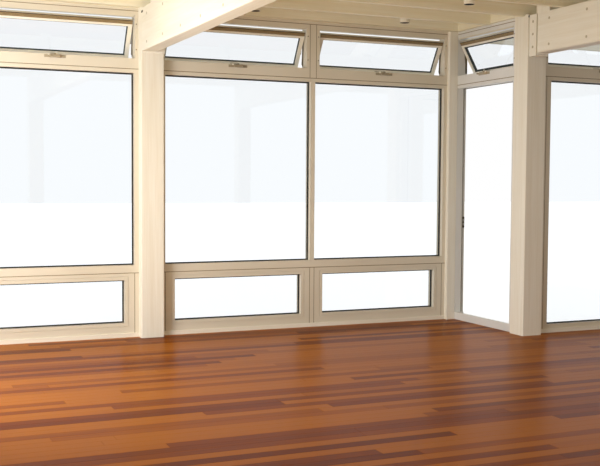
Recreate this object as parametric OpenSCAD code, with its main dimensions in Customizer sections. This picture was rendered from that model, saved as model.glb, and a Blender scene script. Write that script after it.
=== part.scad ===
// Glazed post-and-beam corner of a beach house.
// The long front wall has two bays of windows, a short return wall holds an open doorway,
// and a side wall with one full-height window bay runs on from the return.
// Local axes: x along the front wall, y towards the sea, z = 0 at the top of the floor.

/* [Posts and bays] */
// Side of each square post
post_w = 190; // [150:5:240]
// Clear width of a bay between two posts
bay_w = 2770; // [2400:10:3200]
// Depth of the room over the posts, from the open inner side to the front wall
room_depth = 6000; // [5000:20:7000]
// How far the side wall stands back from the front wall
side_step = 1070; // [1000:10:1500]
// How far the side line of posts stands past the corner post's inner face
corner_shift = 55; // [30:5:75]
// Width of the bevel on the posts' edges
post_bevel = 4; // [2:1:20]
// Width of the slim corner post, from the front frames to the return wall
corner_w = 90; // [80:5:115]
// Depth of the corner post's inner face behind the posts' inner faces
corner_back = 50; // [30:5:70]
// Width of the bevel on the corner post's edges
corner_bevel = 3; // [2:1:12]

/* [Floor] */
// Height of the floor above the ground
floor_h = 240; // [200:5:400]
// Thickness of the floor boards
board_t = 22; // [18:1:32]
// Clearance of the floor round the posts
floor_fit = 3; // [1:0.5:6]
// Depth of the floor joists
floor_joist_h = 120; // [90:5:170]
// Thickness of the floor joists
floor_joist_t = 45; // [35:5:60]
// Largest distance between floor joists
floor_joist_pitch = 610; // [450:10:700]
// Width of the ground beams
ground_beam_w = 150; // [100:10:190]

/* [Beams and roof] */
// Depth of the beams
beam_h = 322; // [240:2:400]
// Width of the beams
beam_w = 125; // [90:5:140]
// Distance from a front post's left face to its beam's
beam_inset = 47; // [0:1:50]
// How far the beams' tops lie below the lintels
beam_seat = 13; // [5:1:40]
// Bevel on the beams' lower edges
beam_bevel = 8; // [3:1:20]
// Thickness of the plate between a front post and its beam
plate_t = 18; // [10:1:30]
// How far that plate reaches below the beam
plate_drop = 35; // [20:1:37]
// Thickness of the cleats that carry the beams on the side wall's posts
cleat_t = 95; // [60:5:120]
// Width of the shadow gaps on both sides of a cleat
cleat_gap = 16; // [8:1:25]
// How far a cleat reaches below its beam
cleat_drop = 20; // [10:1:40]
// Depth of the recess in which the shadow gaps are set
cleat_recess = 18; // [10:1:30]
// Length of the block on a beam's outer end
block_l = 170; // [100:5:200]
// Distance from the outer post to that block
block_back = 110; // [90:5:140]
// How far the return lintel rests on the side wall's post
lintel_rest = 100; // [60:5:100]
// Depth of the ceiling joists
joist_h = 140; // [120:5:190]
// Thickness of the ceiling joists
joist_t = 45; // [35:5:60]
// Distance between ceiling joists
joist_pitch = 507; // [400:1:620]
// Distance from the front posts' inner face to the first joist's near face
joist_first = 520; // [420:5:600]
// Thickness of the ceiling lining
lining_t = 12; // [9:1:20]
// Thickness of the roof deck
deck_t = 90; // [60:5:150]
// How far the roof stands out past the front wall
eave_w = 360; // [330:10:500]
// Thickness of the soffit boards
soffit_t = 15; // [9:1:20]
// Thickness of the fascia boards
fascia_t = 25; // [18:1:40]
// How far the fascia reaches below the soffit
fascia_drop = 3; // [0:1:6]
// How far the fascia stands above the deck
fascia_up = 12; // [0:1:30]
// Gap between two fascia boards at a corner
fascia_gap = 0.5; // [0.2:0.1:0.8]
// Thickness of the eave rafters
rafter_t = 45; // [35:5:60]
// Largest distance between eave rafters
rafter_pitch = 610; // [450:10:750]

/* [Window frames] */
// Height of the frames
head_h = 2703; // [2400:1:3000]
// Depth of the frames
frame_d = 100; // [80:5:120]
// Width of a side member
jamb_w = 36; // [30:1:50]
// Width of the member between two panes
mullion_w = 43; // [36:1:60]
// Width of the sash round a lower light, with its bead
low_sash_w = 83; // [60:1:100]
// Bottom of the lower glass
low_z0 = 117; // [100:1:140]
// Top of the lower glass
low_z1 = 474; // [430:1:500]
// Width of the bead round a lower glass
low_bead_w = 28; // [15:1:40]
// Width of the line round that bead
bead_line = 4; // [2:0.5:6]
// Height of the joint between the lower light and the main frame
low_joint_z = 532; // [520:1:560]
// Bottom of the main glass
main_z0 = 597; // [570:1:650]
// Height of the member between the main glass and the awning opening
transom_h = 118; // [90:1:150]
// Distance from the main glass up to the joint under the awning window's frame
transom_joint = 32; // [15:1:50]
// Height of the awning opening
awning_h = 350; // [300:1:500]
// Height of the member over the awning opening
head_rail_h = 58; // [40:1:80]
// Distance from the top of the frames down to the joint in that member
head_joint = 23; // [12:1:35]
// Width of a side member at the awning opening
awning_jamb_w = 30; // [24:1:50]
// Width of the member between two awning openings
awning_mid_w = 125; // [100:1:160]
// Width of the cover strip in that member
cover_w = 61; // [40:1:80]
// Width of the joint grooves
groove_w = 6; // [3:1:10]
// Depth of the joint grooves
groove_d = 5; // [2:1:10]
// Thickness of the glass
glass_t = 8; // [6:1:12]
// Distance from the frame's inner face to the glass
glass_back = 45; // [30:1:60]
// How far the glass reaches into the frame
glass_bite = 10; // [6:1:14]
// Clearance round the glass in its groove, and of fittings on what they hold
glass_fit = 0.3; // [0.1:0.1:1]
// Height of the skirting strip
skirting_h = 34; // [20:1:60]
// Thickness of the skirting strip
skirting_t = 12; // [8:1:20]
// Bottom of the side wall's glass
side_glass_z0 = 70; // [60:1:90]
// Width of the side wall's jamb with its stile
side_jamb_w = 126; // [100:1:140]
// Distance from the side wall's post to its shadow groove's far edge
side_groove_u = 80; // [60:1:90]

/* [Awning sashes] */
// Opening angle of the awning sashes
awning_angle = 30; // [5:1:35]
// How far an open sash slides down from the head
sash_drop = 43; // [30:1:60]
// Distance from the frame's inner face to the hung edge of a sash
sash_back = 5; // [2:1:30]
// How much shorter a sash is than its opening
sash_short = 5; // [3:1:30]
// Thickness of a sash
sash_t = 38; // [30:1:45]
// Width of a sash's side and bottom members
sash_bar = 34; // [28:1:55]
// Width of a sash's top member
sash_head = 52; // [45:1:80]
// Height of the rebate along a sash's top
sash_rebate_h = 35; // [20:1:40]
// Depth of that rebate
sash_rebate = 3; // [2:1:10]
// Clearance between a sash and the sides of its opening
sash_side = 14; // [10:1:20]
// Thickness of a sash's glass
sash_glass_t = 6; // [4:1:8]
// Width of a stay's track
stay_w = 18; // [12:1:25]
// Width of a stay's arms
arm_w = 12; // [8:1:18]
// Thickness of a stay's bars
stay_t = 3; // [2:0.5:4]
// Diameter of the studs that fix a stay's arms to the sash
stud_d = 8; // [5:1:11]
// Distance from a stay's track to the top and bottom of its opening
track_gap = 25; // [10:1:50]
// Width of a winder
winder_w = 168; // [120:2:220]
// Width of the winder's housing between its two tabs
housing_w = 96; // [70:2:120]
// Height of a winder
winder_h = 22; // [16:1:30]
// How far a winder stands out from the frame
winder_d = 34; // [25:1:50]
// How far a winder's top lies below the edge of the opening
winder_low = 6; // [2:1:15]
// Thickness of the winder's tabs
tab_t = 4; // [2:0.5:6]
// Slant of the housing's ends
housing_slant = 14; // [6:1:25]
// Distance from the crank's hub to its knob
crank_l = 44; // [30:1:60]
// Width of the crank
crank_w = 9; // [6:1:14]
// Thickness of the crank
crank_t = 5; // [3:1:8]
// Diameter of the crank's knob
knob_d = 14; // [10:1:20]
// Length of the crank's knob
knob_l = 12; // [6:1:20]
// Width of a winder's chain
chain_w = 16; // [8:1:24]
// Thickness of a winder's chain
chain_t = 6; // [4:1:9]

/* [Doorway] */
// Width of the door frame's member beside the side wall's post
door_jamb = 60; // [40:1:80]
// Width of the member that keeps the side wall's sashes clear of the return wall's
corner_awning_jamb = 90; // [88:1:160]
// Depth of the rebate that the door closes into, from the frame's outer face
rebate_depth = 30; // [25:1:50]
// Width of that rebate
rebate_w = 8; // [5:1:20]
// Height of the door sill above the floor
sill_h = 66; // [30:1:80]
// Height of the sill's outer edge
sill_low = 40; // [15:1:50]
// Depth of the level part of the sill's top
sill_flat = 36; // [20:1:60]
// Height of the keeper's middle above the floor
keeper_z = 920; // [850:5:1100]
// Length of the keeper
keeper_l = 105; // [60:1:150]
// Width of the keeper
keeper_w = 24; // [16:1:28]
// Thickness of the keeper
keeper_t = 3; // [2:0.5:5]

/* [Downlights] */
// Diameter of a downlight
lamp_d = 88; // [70:1:110]
// Width of a downlight's rim
lamp_rim = 3; // [2:0.5:6]
// Depth of the recess in a downlight
lamp_recess = 36; // [20:1:60]
// Diameter of the recess at its inner end
lamp_inner = 58; // [40:1:80]
// How far a downlight's rim lies above the beams' tops
lamp_up = 8; // [0:1:30]

/* [Hidden] */
eps = 1;

// Lines of the plan: the posts' left faces and the walls' inner faces
pitch = post_w + bay_w;
side_x = 2 * pitch + corner_shift;
post_x = [0, pitch, side_x, side_x + pitch];
front_y = room_depth - post_w;
side_y = front_y - side_step;
post_y = [front_y, front_y, side_y, side_y];
plan_w = side_x + pitch + post_w;
setback = post_w - frame_d;
wall_x = 2 * pitch + corner_w;
return_x = wall_x + frame_d;
return_y = side_y + post_w;
return_l = room_depth - return_y;
cleat_l = cleat_t + 2 * cleat_gap;
seat_l = [plate_t, plate_t, cleat_l, cleat_l];
beam_x = [beam_inset, pitch + beam_inset, side_x, side_x + pitch];
return_lintel_y = return_y - lintel_rest;

// Heights above the floor
awning_z1 = head_h - head_rail_h;
awning_z0 = awning_z1 - awning_h;
main_z1 = awning_z0 - transom_h;
awning_joint_z = main_z1 + transom_joint;
head_joint_z = head_h - head_joint;
beam_top = head_h - beam_seat;
beam_z = beam_top - beam_h;
joist_top = beam_top + joist_h;
deck_z = joist_top + lining_t;
roof_top = deck_z + deck_t;
floor_joist_z = -board_t - floor_joist_h;
eave_y = room_depth + eave_w;

// The whole part's box, which sets the origin
box_mid_x = plan_w / 2;
box_mid_y = (eave_y - fascia_t) / 2;

// Window bay: widths of the openings at each level
main_w = (bay_w - 2 * jamb_w - mullion_w) / 2;
low_w = main_w - 2 * low_sash_w;
awning_w = (bay_w - 2 * awning_jamb_w - awning_mid_w) / 2;
side_w = (bay_w - 2 * side_jamb_w - mullion_w) / 2;
corner_jamb = post_w - corner_back;
door_w = return_l - corner_jamb - door_jamb;
side_awning_w = (bay_w - corner_awning_jamb - awning_jamb_w - awning_mid_w) / 2;
sash_h = awning_h - sash_short;
sash_top_z = awning_z1 - sash_drop;

// The part stands with the middle of its box's underside at the origin
module place() translate([-box_mid_x, -box_mid_y, floor_h]) children();

// Each wall's own axes: u along the wall, v from its inner face outwards
module front_bay(i) translate([post_x[i] + post_w, front_y + setback, 0]) children();
module side_bay() translate([post_x[2] + post_w, side_y + setback, 0]) children();
module return_bay() translate([wall_x, room_depth, 0]) rotate([0, 0, -90]) children();

// A plate whose outline is drawn in v and z, with its thickness t along u
module side_plate(points, t) rotate([90, 0, 90]) linear_extrude(t) polygon(points);

// A square outline with its corners cut at 45 degrees
function bevelled(w, d, c) = [[c, 0], [w - c, 0], [w, c], [w, d - c], [w - c, d], [c, d], [0, d - c], [0, c]];

module post(x, y) place() translate([x, y, -floor_h])
    linear_extrude(floor_h + head_h) polygon(bevelled(post_w, post_w, post_bevel));

module corner_post() color("#c1b19a") place() translate([2 * pitch, room_depth - corner_jamb, -floor_h])
    linear_extrude(floor_h + head_h) polygon(bevelled(corner_w, corner_jamb, corner_bevel));

module front_post(i) color("#efe0cd") post(post_x[i], post_y[i]);
module inner_post(i) color("#efe0cd") post(post_x[i], 0);

// A beam between what carries it on its two posts, bevelled along its lower edges
module beam(i) color("#efe4d6") place() translate([beam_x[i], post_y[i] - seat_l[i], beam_z])
    rotate([90, 0, 0]) linear_extrude(post_y[i] - post_w - 2 * seat_l[i]) polygon([
        [beam_bevel, 0], [beam_w - beam_bevel, 0], [beam_w, beam_bevel],
        [beam_w, beam_h], [0, beam_h], [0, beam_bevel]]);

// What carries a beam: a plate across a front post's face, or on a post of the side wall
// a batten as wide as the beam, with a narrower spacer on each side of it
module plate() translate([0, 0, beam_z - plate_drop])
    cube([post_w, plate_t, beam_top - beam_z + plate_drop]);

module cleat() {
    z0 = beam_z - cleat_drop;
    translate([0, cleat_gap, z0]) cube([beam_w, cleat_t, beam_top - z0]);
    translate([cleat_recess, 0, z0 + cleat_recess])
        cube([beam_w - 2 * cleat_recess, cleat_l, beam_top - z0 - cleat_recess]);
}

module beam_cleats() color("#e6d9c6") place() for (i = [0:3], y = [post_w, post_y[i] - seat_l[i]])
    translate([post_x[i], y, 0]) if (i < 2) plate(); else cleat();

// A block on each beam, between the joists beside its outer post
module beam_blocks() color("#e6d9c6") place() for (i = [0:3])
    translate([beam_x[i], post_y[i] - block_back - block_l, beam_top]) cube([beam_w, block_l, joist_h]);

// Floor: beams on the ground, joists across them and boards on top
module plan(h) linear_extrude(h) polygon([
    [0, 0], [plan_w, 0], [plan_w, return_y], [return_x, return_y], [return_x, room_depth], [0, room_depth]]);

// What stands in the way of the floor, with its clearance: every post and the corner post
module post_holes(z, h) {
    hole = post_w + 2 * floor_fit;
    for (i = [0:3], y = [0, post_y[i]])
        translate([post_x[i] - floor_fit, y - floor_fit, z]) cube([hole, hole, h]);
    translate([2 * pitch - floor_fit, room_depth - corner_jamb - floor_fit, z])
        cube([corner_w + 2 * floor_fit, corner_jamb + 2 * floor_fit, h]);
}

module floor_boards() color("#7d3f1f") place() difference() {
    translate([0, 0, -board_t]) plan(board_t);
    post_holes(-board_t - eps, board_t + 2 * eps);
}

joist_bays = ceil((plan_w - floor_joist_t) / floor_joist_pitch);
floor_joist_step = (plan_w - floor_joist_t) / joist_bays;

module floor_joists() color("#b08a5c") place() difference() {
    for (i = [0:joist_bays]) translate([i * floor_joist_step, 0, floor_joist_z])
        cube([floor_joist_t,
            i * floor_joist_step + floor_joist_t <= return_x ? room_depth : return_y, floor_joist_h]);
    post_holes(floor_joist_z - eps, floor_joist_h + 2 * eps);
}

module ground_beam(x0, x1, y) translate([x0, y, -floor_h])
    cube([x1 - x0, ground_beam_w, floor_h + floor_joist_z]);

module ground_beams() color("#8a7a68") place() difference() {
    union() {
        ground_beam(0, plan_w, (post_w - ground_beam_w) / 2);
        ground_beam(0, plan_w, side_y / 2);
        ground_beam(0, plan_w, side_y + (post_w - ground_beam_w) / 2);
        ground_beam(0, return_x, front_y + (post_w - ground_beam_w) / 2);
    }
    post_holes(-floor_h - eps, floor_h);
}

// Lintels over the posts
module lintel(x0, x1, y0, y1) color("#c8b48c") place() translate([x0, y0, head_h])
    cube([x1 - x0, y1 - y0, joist_top - head_h]);

module front_lintel() lintel(0, return_x, front_y, room_depth);
module return_lintel() lintel(side_x, return_x, return_lintel_y, front_y);
module side_lintel() lintel(return_x, plan_w, return_lintel_y, return_y);
module inner_lintel() lintel(0, plan_w, 0, post_w);

// Ceiling joists, counted from the front wall back; those beside the return end at its lintel,
// and all are notched over the posts
joist_y0 = front_y - joist_first;
joist_count = floor((joist_y0 - post_w) / joist_pitch) + 1;

module ceiling_joists() color("#c9b48c") place() difference() {
    for (i = [0:joist_count - 1]) {
        y = joist_y0 - i * joist_pitch;
        translate([0, y, beam_top]) cube([y + joist_t > return_lintel_y ? side_x : plan_w, joist_t, joist_h]);
    }
    for (i = [2, 3]) translate([post_x[i], post_y[i], beam_top - eps]) cube([post_w, post_w, beam_seat + eps]);
}

// The lining and the deck cover the room and the eaves
module ceiling_lining() color("#d8c39a") place() translate([0, 0, joist_top])
    cube([plan_w, eave_y - fascia_t, lining_t]);

module roof_deck() color("#d9d6cf") place() translate([0, 0, deck_z])
    cube([plan_w, eave_y - fascia_t, deck_t]);

module eave_soffit() color("#e2d8c6") place() translate([0, 0, head_h]) difference() {
    translate([0, return_y, 0]) cube([plan_w, eave_y - fascia_t - return_y, soffit_t]);
    translate([-eps, return_y - eps, -eps])
        cube([return_x + eps, room_depth - return_y + eps, soffit_t + 2 * eps]);
}

rafter_bays = ceil((plan_w - rafter_t) / rafter_pitch);
rafter_step = (plan_w - rafter_t) / rafter_bays;

module eave_rafters() color("#c9b48c") place() for (i = [0:rafter_bays]) {
    x = i * rafter_step;
    y = x < return_x ? room_depth : return_y;
    translate([x, y, head_h + soffit_t])
        cube([rafter_t, eave_y - fascia_t - y, joist_top - head_h - soffit_t]);
}

// Fascia boards on the four sides of the roof, the long ones past the ends of the short ones
module fascia() color("#f0ece2") place() translate([0, 0, head_h - fascia_drop]) {
    h = roof_top + fascia_up - head_h + fascia_drop;
    for (y = [-fascia_t, eave_y - fascia_t]) translate([-fascia_t, y, 0])
        cube([plan_w + 2 * fascia_t, fascia_t, h]);
    for (x = [-fascia_t, plan_w]) translate([x, fascia_gap, 0])
        cube([fascia_t, eave_y - fascia_t - 2 * fascia_gap, h]);
}

// An opening through a frame, with the groove that holds its glass
module opening(u, z0, w, z1, glazed) {
    translate([u, -eps, z0]) cube([w, frame_d + 2 * eps, z1 - z0]);
    if (glazed) translate([u - glass_bite - glass_fit, glass_back - glass_fit, z0 - glass_bite - glass_fit])
        cube([w + 2 * (glass_bite + glass_fit), glass_t + 2 * glass_fit,
            z1 - z0 + 2 * (glass_bite + glass_fit)]);
}

// The pane that goes into that groove
module pane(u, z0, w, z1) translate([u - glass_bite, glass_back, z0 - glass_bite])
    cube([w + 2 * glass_bite, glass_t, z1 - z0 + 2 * glass_bite]);

// The line round the bead of a lower light
module bead_groove(u, z0, w, z1) for (s = [0, 1]) {
    translate([u - low_bead_w - bead_line / 2, 0, z0 - low_bead_w - bead_line / 2])
        translate([s * (w + 2 * low_bead_w), -eps, 0])
            cube([bead_line, groove_d + eps, z1 - z0 + 2 * low_bead_w + bead_line]);
    translate([u - low_bead_w, -eps, (s == 0 ? z0 - low_bead_w : z1 + low_bead_w) - bead_line / 2])
        cube([w + 2 * low_bead_w, groove_d + eps, bead_line]);
}

// Joint grooves in a frame's inner face
module groove_h(z, w) translate([-eps, -eps, z - groove_w / 2]) cube([w + 2 * eps, groove_d + eps, groove_w]);
module groove_v(u, z0, z1) translate([u - groove_w / 2, -eps, z0]) cube([groove_w, groove_d + eps, z1 - z0]);

function main_u(i) = jamb_w + i * (main_w + mullion_w);
function awning_u(i) = awning_jamb_w + i * (awning_w + awning_mid_w);
function side_u(i) = side_jamb_w + i * (side_w + mullion_w);
function side_awning_u(i) = corner_awning_jamb + i * (side_awning_w + awning_mid_w);

// Front bay: a lower light, a main light and an awning window on each side of the mullion
module front_frame() difference() {
    cube([bay_w, frame_d, head_h]);
    for (i = [0:1]) {
        opening(main_u(i) + low_sash_w, low_z0, low_w, low_z1, true);
        bead_groove(main_u(i) + low_sash_w, low_z0, low_w, low_z1);
        opening(main_u(i), main_z0, main_w, main_z1, true);
        opening(awning_u(i), awning_z0, awning_w, awning_z1, false);
        for (u = [main_u(i), main_u(i) + main_w]) groove_v(u, skirting_h, low_joint_z);
        groove_v(bay_w / 2 + (i - 0.5) * cover_w, awning_joint_z, head_joint_z);
    }
    groove_h(low_joint_z, bay_w);
    groove_h(awning_joint_z, bay_w);
    groove_h(head_joint_z, bay_w);
}

module front_frame_left() color("#af9e85") place() front_bay(0) front_frame();
module front_frame_right() color("#af9e85") place() front_bay(1) front_frame();

// Side bay: two full-height lights with an awning window over each
module side_frame() color("#9c8c72") place() side_bay() difference() {
    cube([bay_w, frame_d, head_h]);
    for (i = [0:1]) {
        opening(side_u(i), side_glass_z0, side_w, main_z1, true);
        opening(side_awning_u(i), awning_z0, side_awning_w, awning_z1, false);
        groove_v(side_awning_u(0) + side_awning_w + awning_mid_w / 2 + (i - 0.5) * cover_w,
            awning_joint_z, head_joint_z);
    }
    for (u = [side_groove_u, bay_w - side_groove_u]) groove_v(u, skirting_h, awning_joint_z);
    groove_h(awning_joint_z, bay_w);
    groove_h(head_joint_z, bay_w);
}

// Return wall: the doorway, rebated for its door, with an awning window over it
module door_frame() color("#b9b7b2") place() return_bay() difference() {
    cube([return_l, frame_d, head_h]);
    opening(corner_jamb, -eps, door_w, main_z1, false);
    opening(corner_jamb, awning_z0, door_w, awning_z1, false);
    translate([corner_jamb - rebate_w, frame_d - rebate_depth, sill_h])
        cube([door_w + 2 * rebate_w, rebate_depth + eps, main_z1 + rebate_w - sill_h]);
    groove_h(awning_joint_z, return_l);
    groove_h(head_joint_z, return_l);
}

module door_sill() color("#9a9a96") place() return_bay() translate([corner_jamb, 0, 0])
    side_plate([[0, 0], [frame_d, 0], [frame_d, sill_low], [sill_flat, sill_h], [0, sill_h]], door_w);

// The keeper in the rebate at the corner: a plate with two slots for the lock's bolts
module door_keeper() color("#5b554c") place() return_bay()
    translate([corner_jamb - rebate_w, frame_d - keeper_w, keeper_z - keeper_l / 2]) difference() {
        cube([keeper_t, keeper_w, keeper_l]);
        for (z = [keeper_l * 0.2, keeper_l * 0.55]) translate([-eps, keeper_w * 0.25, z])
            cube([keeper_t + 2 * eps, keeper_w * 0.5, keeper_l * 0.25]);
    }

module skirting() color("#bcae97") place() {
    for (i = [0:1]) front_bay(i) translate([0, -skirting_t, 0]) cube([bay_w, skirting_t, skirting_h]);
    side_bay() translate([0, -skirting_t, 0]) cube([bay_w, skirting_t, skirting_h]);
}

module front_glass() color("#a9c4c4", 0.4) place() for (b = [0:1], i = [0:1]) front_bay(b) {
    pane(main_u(i) + low_sash_w, low_z0, low_w, low_z1);
    pane(main_u(i), main_z0, main_w, main_z1);
}

module side_glass() color("#a9c4c4", 0.4) place() side_bay() for (i = [0:1])
    pane(side_u(i), side_glass_z0, side_w, main_z1);

// Every awning window: its wall's axes, the opening's left edge and width
module each_awning() {
    for (b = [0:1], i = [0:1]) front_bay(b) translate([awning_u(i), 0, 0]) {
        $opening_w = awning_w;
        children();
    }
    return_bay() translate([corner_jamb, 0, 0]) {
        $opening_w = door_w;
        children();
    }
    for (i = [0:1]) side_bay() translate([side_awning_u(i), 0, 0]) {
        $opening_w = side_awning_w;
        children();
    }
}

// A sash hangs from its upper inner edge and swings out at its foot
module hung() translate([sash_side, sash_back, sash_top_z]) rotate([awning_angle, 0, 0])
    translate([0, 0, -sash_h]) children();

// The top member has a rebate along its inner face, which the head of the frame covers when shut
module sash(w) difference() {
    bite = sash_bar - glass_bite - glass_fit;
    cube([w, sash_t, sash_h]);
    translate([sash_bar, -eps, sash_bar])
        cube([w - 2 * sash_bar, sash_t + 2 * eps, sash_h - sash_bar - sash_head]);
    translate([bite, (sash_t - sash_glass_t) / 2 - glass_fit, bite])
        cube([w - 2 * bite, sash_glass_t + 2 * glass_fit,
            sash_h - bite - sash_head + glass_bite + glass_fit]);
    translate([-eps, -eps, sash_h - sash_rebate_h]) cube([w + 2 * eps, sash_rebate + eps, sash_rebate_h + eps]);
}

module sash_pane(w) translate([sash_bar - glass_bite, (sash_t - sash_glass_t) / 2, sash_bar - glass_bite])
    cube([w - 2 * (sash_bar - glass_bite), sash_glass_t, sash_h - sash_bar - sash_head + 2 * glass_bite]);

module awning_sashes() color("#cbbfa8") place() each_awning() hung() sash($opening_w - 2 * sash_side);
module awning_glass() color("#a9c4c4", 0.4) place() each_awning() hung() sash_pane($opening_w - 2 * sash_side);

// A point on a sash's inner face, at distance s below its hung edge and n in from the face
function sash_v(s, n) = sash_back + s * sin(awning_angle) + n * cos(awning_angle);
function sash_z(s, n) = sash_top_z - s * cos(awning_angle) + n * sin(awning_angle);

// A flat bar with round ends from point a to point b, with its thickness t upwards
module bar(a, b, w, t) linear_extrude(t) {
    n = [a[1] - b[1], b[0] - a[0]] * w / 2 / norm(b - a);
    polygon([a + n, b + n, b - n, a - n]);
    for (p = [a, b]) translate(p) circle(d = w, $fn = 24);
}

// A stay: a track on the side of the opening and two arms, each from a shoe in the track to a stud
// on the sash; arm_ends holds the height of the shoe and the stud's distance below the hung edge
track_v = frame_d - stay_w;
track_z = [awning_z0 + track_gap, awning_z1 - track_gap];
arm_ends = [[track_z[1] - stay_w, sash_h * 0.6], [track_z[0] + stay_w, sash_h * 0.28]];

module stay() {
    translate([0, track_v, track_z[0]]) cube([stay_t, stay_w, track_z[1] - track_z[0]]);
    for (i = [0, 1]) {
        stud = [sash_v(arm_ends[i][1], sash_t / 2), sash_z(arm_ends[i][1], sash_t / 2)];
        translate([(i + 1) * stay_t, 0, 0]) rotate([90, 0, 90]) {
            bar([track_v + stay_w / 2, arm_ends[i][0]], stud, arm_w, stay_t);
            translate([stud[0], stud[1], 0])
                cylinder(h = sash_side - (i + 1) * stay_t - glass_fit, d = stud_d, $fn = 24);
        }
    }
}

module window_stays() color("#8f8f8c") place() each_awning() {
    stay();
    translate([$opening_w, 0, 0]) mirror([1, 0, 0]) stay();
}

// A winder under the edge of an awning opening: tabs, a housing, a folded crank and a chain
// that rises over the edge and pushes the sash out
chain_s = sash_h - sash_bar / 2;
winder_top = awning_z0 - winder_low;
chain_z = awning_z0 + glass_fit;

module winder() {
    translate([-winder_w / 2, -tab_t, winder_top - winder_h]) cube([winder_w, tab_t, winder_h]);
    translate([0, 0, winder_top - winder_h]) linear_extrude(winder_h) polygon([
        [-housing_w / 2, 0], [housing_slant - housing_w / 2, -winder_d],
        [housing_w / 2 - housing_slant, -winder_d], [housing_w / 2, 0]]);
    translate([-chain_w / 2, -winder_d / 2, winder_top])
        cube([chain_w, winder_d / 2, chain_z + chain_t - winder_top]);
    translate([-chain_w / 2, 0, 0]) side_plate([
        [0, chain_z], [0, chain_z + chain_t],
        [sash_v(chain_s - chain_t, -glass_fit), sash_z(chain_s - chain_t, -glass_fit)],
        [sash_v(chain_s, -glass_fit), sash_z(chain_s, -glass_fit)]], chain_w);
    crank();
}

// The crank lies folded along the housing's front, with its hub at the middle
module crank() translate([0, -winder_d, winder_top - winder_h / 2]) rotate([90, 0, 0]) {
    bar([0, 0], [-crank_l, 0], crank_w, crank_t);
    translate([-crank_l, 0, 0]) cylinder(h = crank_t + knob_l, d = knob_d, $fn = 24);
}

module winders() color("#a7a6a0") place() each_awning() translate([$opening_w / 2, 0, 0]) winder();

// Downlights hang from the lining in every second gap between joists, at the bays' quarter points
lamp_z = beam_top + lamp_up;
lamp_x = [for (i = [0:2], q = [0.25, 0.75]) post_x[i] + post_w + q * (post_x[i + 1] - post_x[i] - post_w)];
lamp_y0 = (joist_y0 + joist_t + front_y) / 2;
lamp_y1 = joist_y0 - joist_pitch + (joist_t - joist_pitch) / 2;

// A downlight: a round can with a tapered recess, turned from its half section
module lamp() rotate_extrude($fn = 24) polygon([
    [0, lamp_recess], [lamp_inner / 2, lamp_recess], [lamp_d / 2 - lamp_rim, 0], [lamp_d / 2, 0],
    [lamp_d / 2, joist_top - lamp_z], [0, joist_top - lamp_z]]);

module downlights() color("#e8dfc9") place() {
    for (x = [for (i = [0:3]) lamp_x[i]]) translate([x, lamp_y0, lamp_z]) lamp();
    for (x = lamp_x, k = [0:3]) if (lamp_y1 - 2 * k * joist_pitch > post_w)
        translate([x, lamp_y1 - 2 * k * joist_pitch, lamp_z]) lamp();
}

ground_beams();
floor_joists();
floor_boards();
front_post(0);  // post_left
front_post(1);  // post_middle
front_post(2);  // post_side
front_post(3);  // post_right
corner_post();
inner_post(0);  // inner_post_0
inner_post(1);  // inner_post_1
inner_post(2);  // inner_post_2
inner_post(3);  // inner_post_3
beam(0);  // beam_0
beam(1);  // beam_1
beam(2);  // beam_2
beam(3);  // beam_3
beam_cleats();
beam_blocks();
front_lintel();
return_lintel();
side_lintel();
inner_lintel();
ceiling_joists();
ceiling_lining();
roof_deck();
eave_soffit();
eave_rafters();
fascia();
front_frame_left();
front_frame_right();
side_frame();
door_frame();
door_sill();
door_keeper();
skirting();
front_glass();
side_glass();
awning_sashes();
awning_glass();
window_stays();
winders();
downlights();
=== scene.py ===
"""Looks for the glazed corner of a beach house: limed posts and beams, framed windows, hardwood floor."""

import math

import bmesh
import bpy
import numpy as np
from mathutils import Matrix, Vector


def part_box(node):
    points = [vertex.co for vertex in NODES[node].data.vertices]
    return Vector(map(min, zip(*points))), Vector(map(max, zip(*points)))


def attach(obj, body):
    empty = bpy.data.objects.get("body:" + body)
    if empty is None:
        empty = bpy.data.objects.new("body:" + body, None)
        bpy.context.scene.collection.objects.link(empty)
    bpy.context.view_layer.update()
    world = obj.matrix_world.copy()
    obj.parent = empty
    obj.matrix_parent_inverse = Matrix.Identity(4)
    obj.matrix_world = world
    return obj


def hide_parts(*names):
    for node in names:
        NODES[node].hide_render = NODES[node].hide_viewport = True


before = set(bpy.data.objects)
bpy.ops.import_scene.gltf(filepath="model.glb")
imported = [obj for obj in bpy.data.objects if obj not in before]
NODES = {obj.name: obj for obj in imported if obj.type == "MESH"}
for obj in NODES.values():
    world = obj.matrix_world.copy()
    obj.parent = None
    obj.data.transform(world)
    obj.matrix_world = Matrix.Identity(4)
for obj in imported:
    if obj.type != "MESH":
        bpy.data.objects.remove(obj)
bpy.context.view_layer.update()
MM = 0.001

# Places that the CAD settles
FLOOR_LO, FLOOR_HI = (np.array(c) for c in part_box("floor_boards"))
FLOOR_TOP = FLOOR_HI[2]
X, Y, Z = np.eye(3)


def linear(colour):
    """Linear RGB of an sRGB hex colour such as "#efe3d2"."""
    parts = [int(colour[i:i + 2], 16) / 255 for i in (1, 3, 5)]
    return [c / 12.92 if c <= 0.04045 else ((c + 0.055) / 1.055) ** 2.4 for c in parts]


# Shapes: each is (points, faces), both arrays, with quads only

def join(shapes):
    """One shape from several: the faces' numbers are raised by the points that come before."""
    starts = np.cumsum([0] + [len(points) for points, faces in shapes[:-1]])
    return (np.concatenate([points for points, faces in shapes]),
            np.concatenate([faces + start for (points, faces), start in zip(shapes, starts)]))


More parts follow.
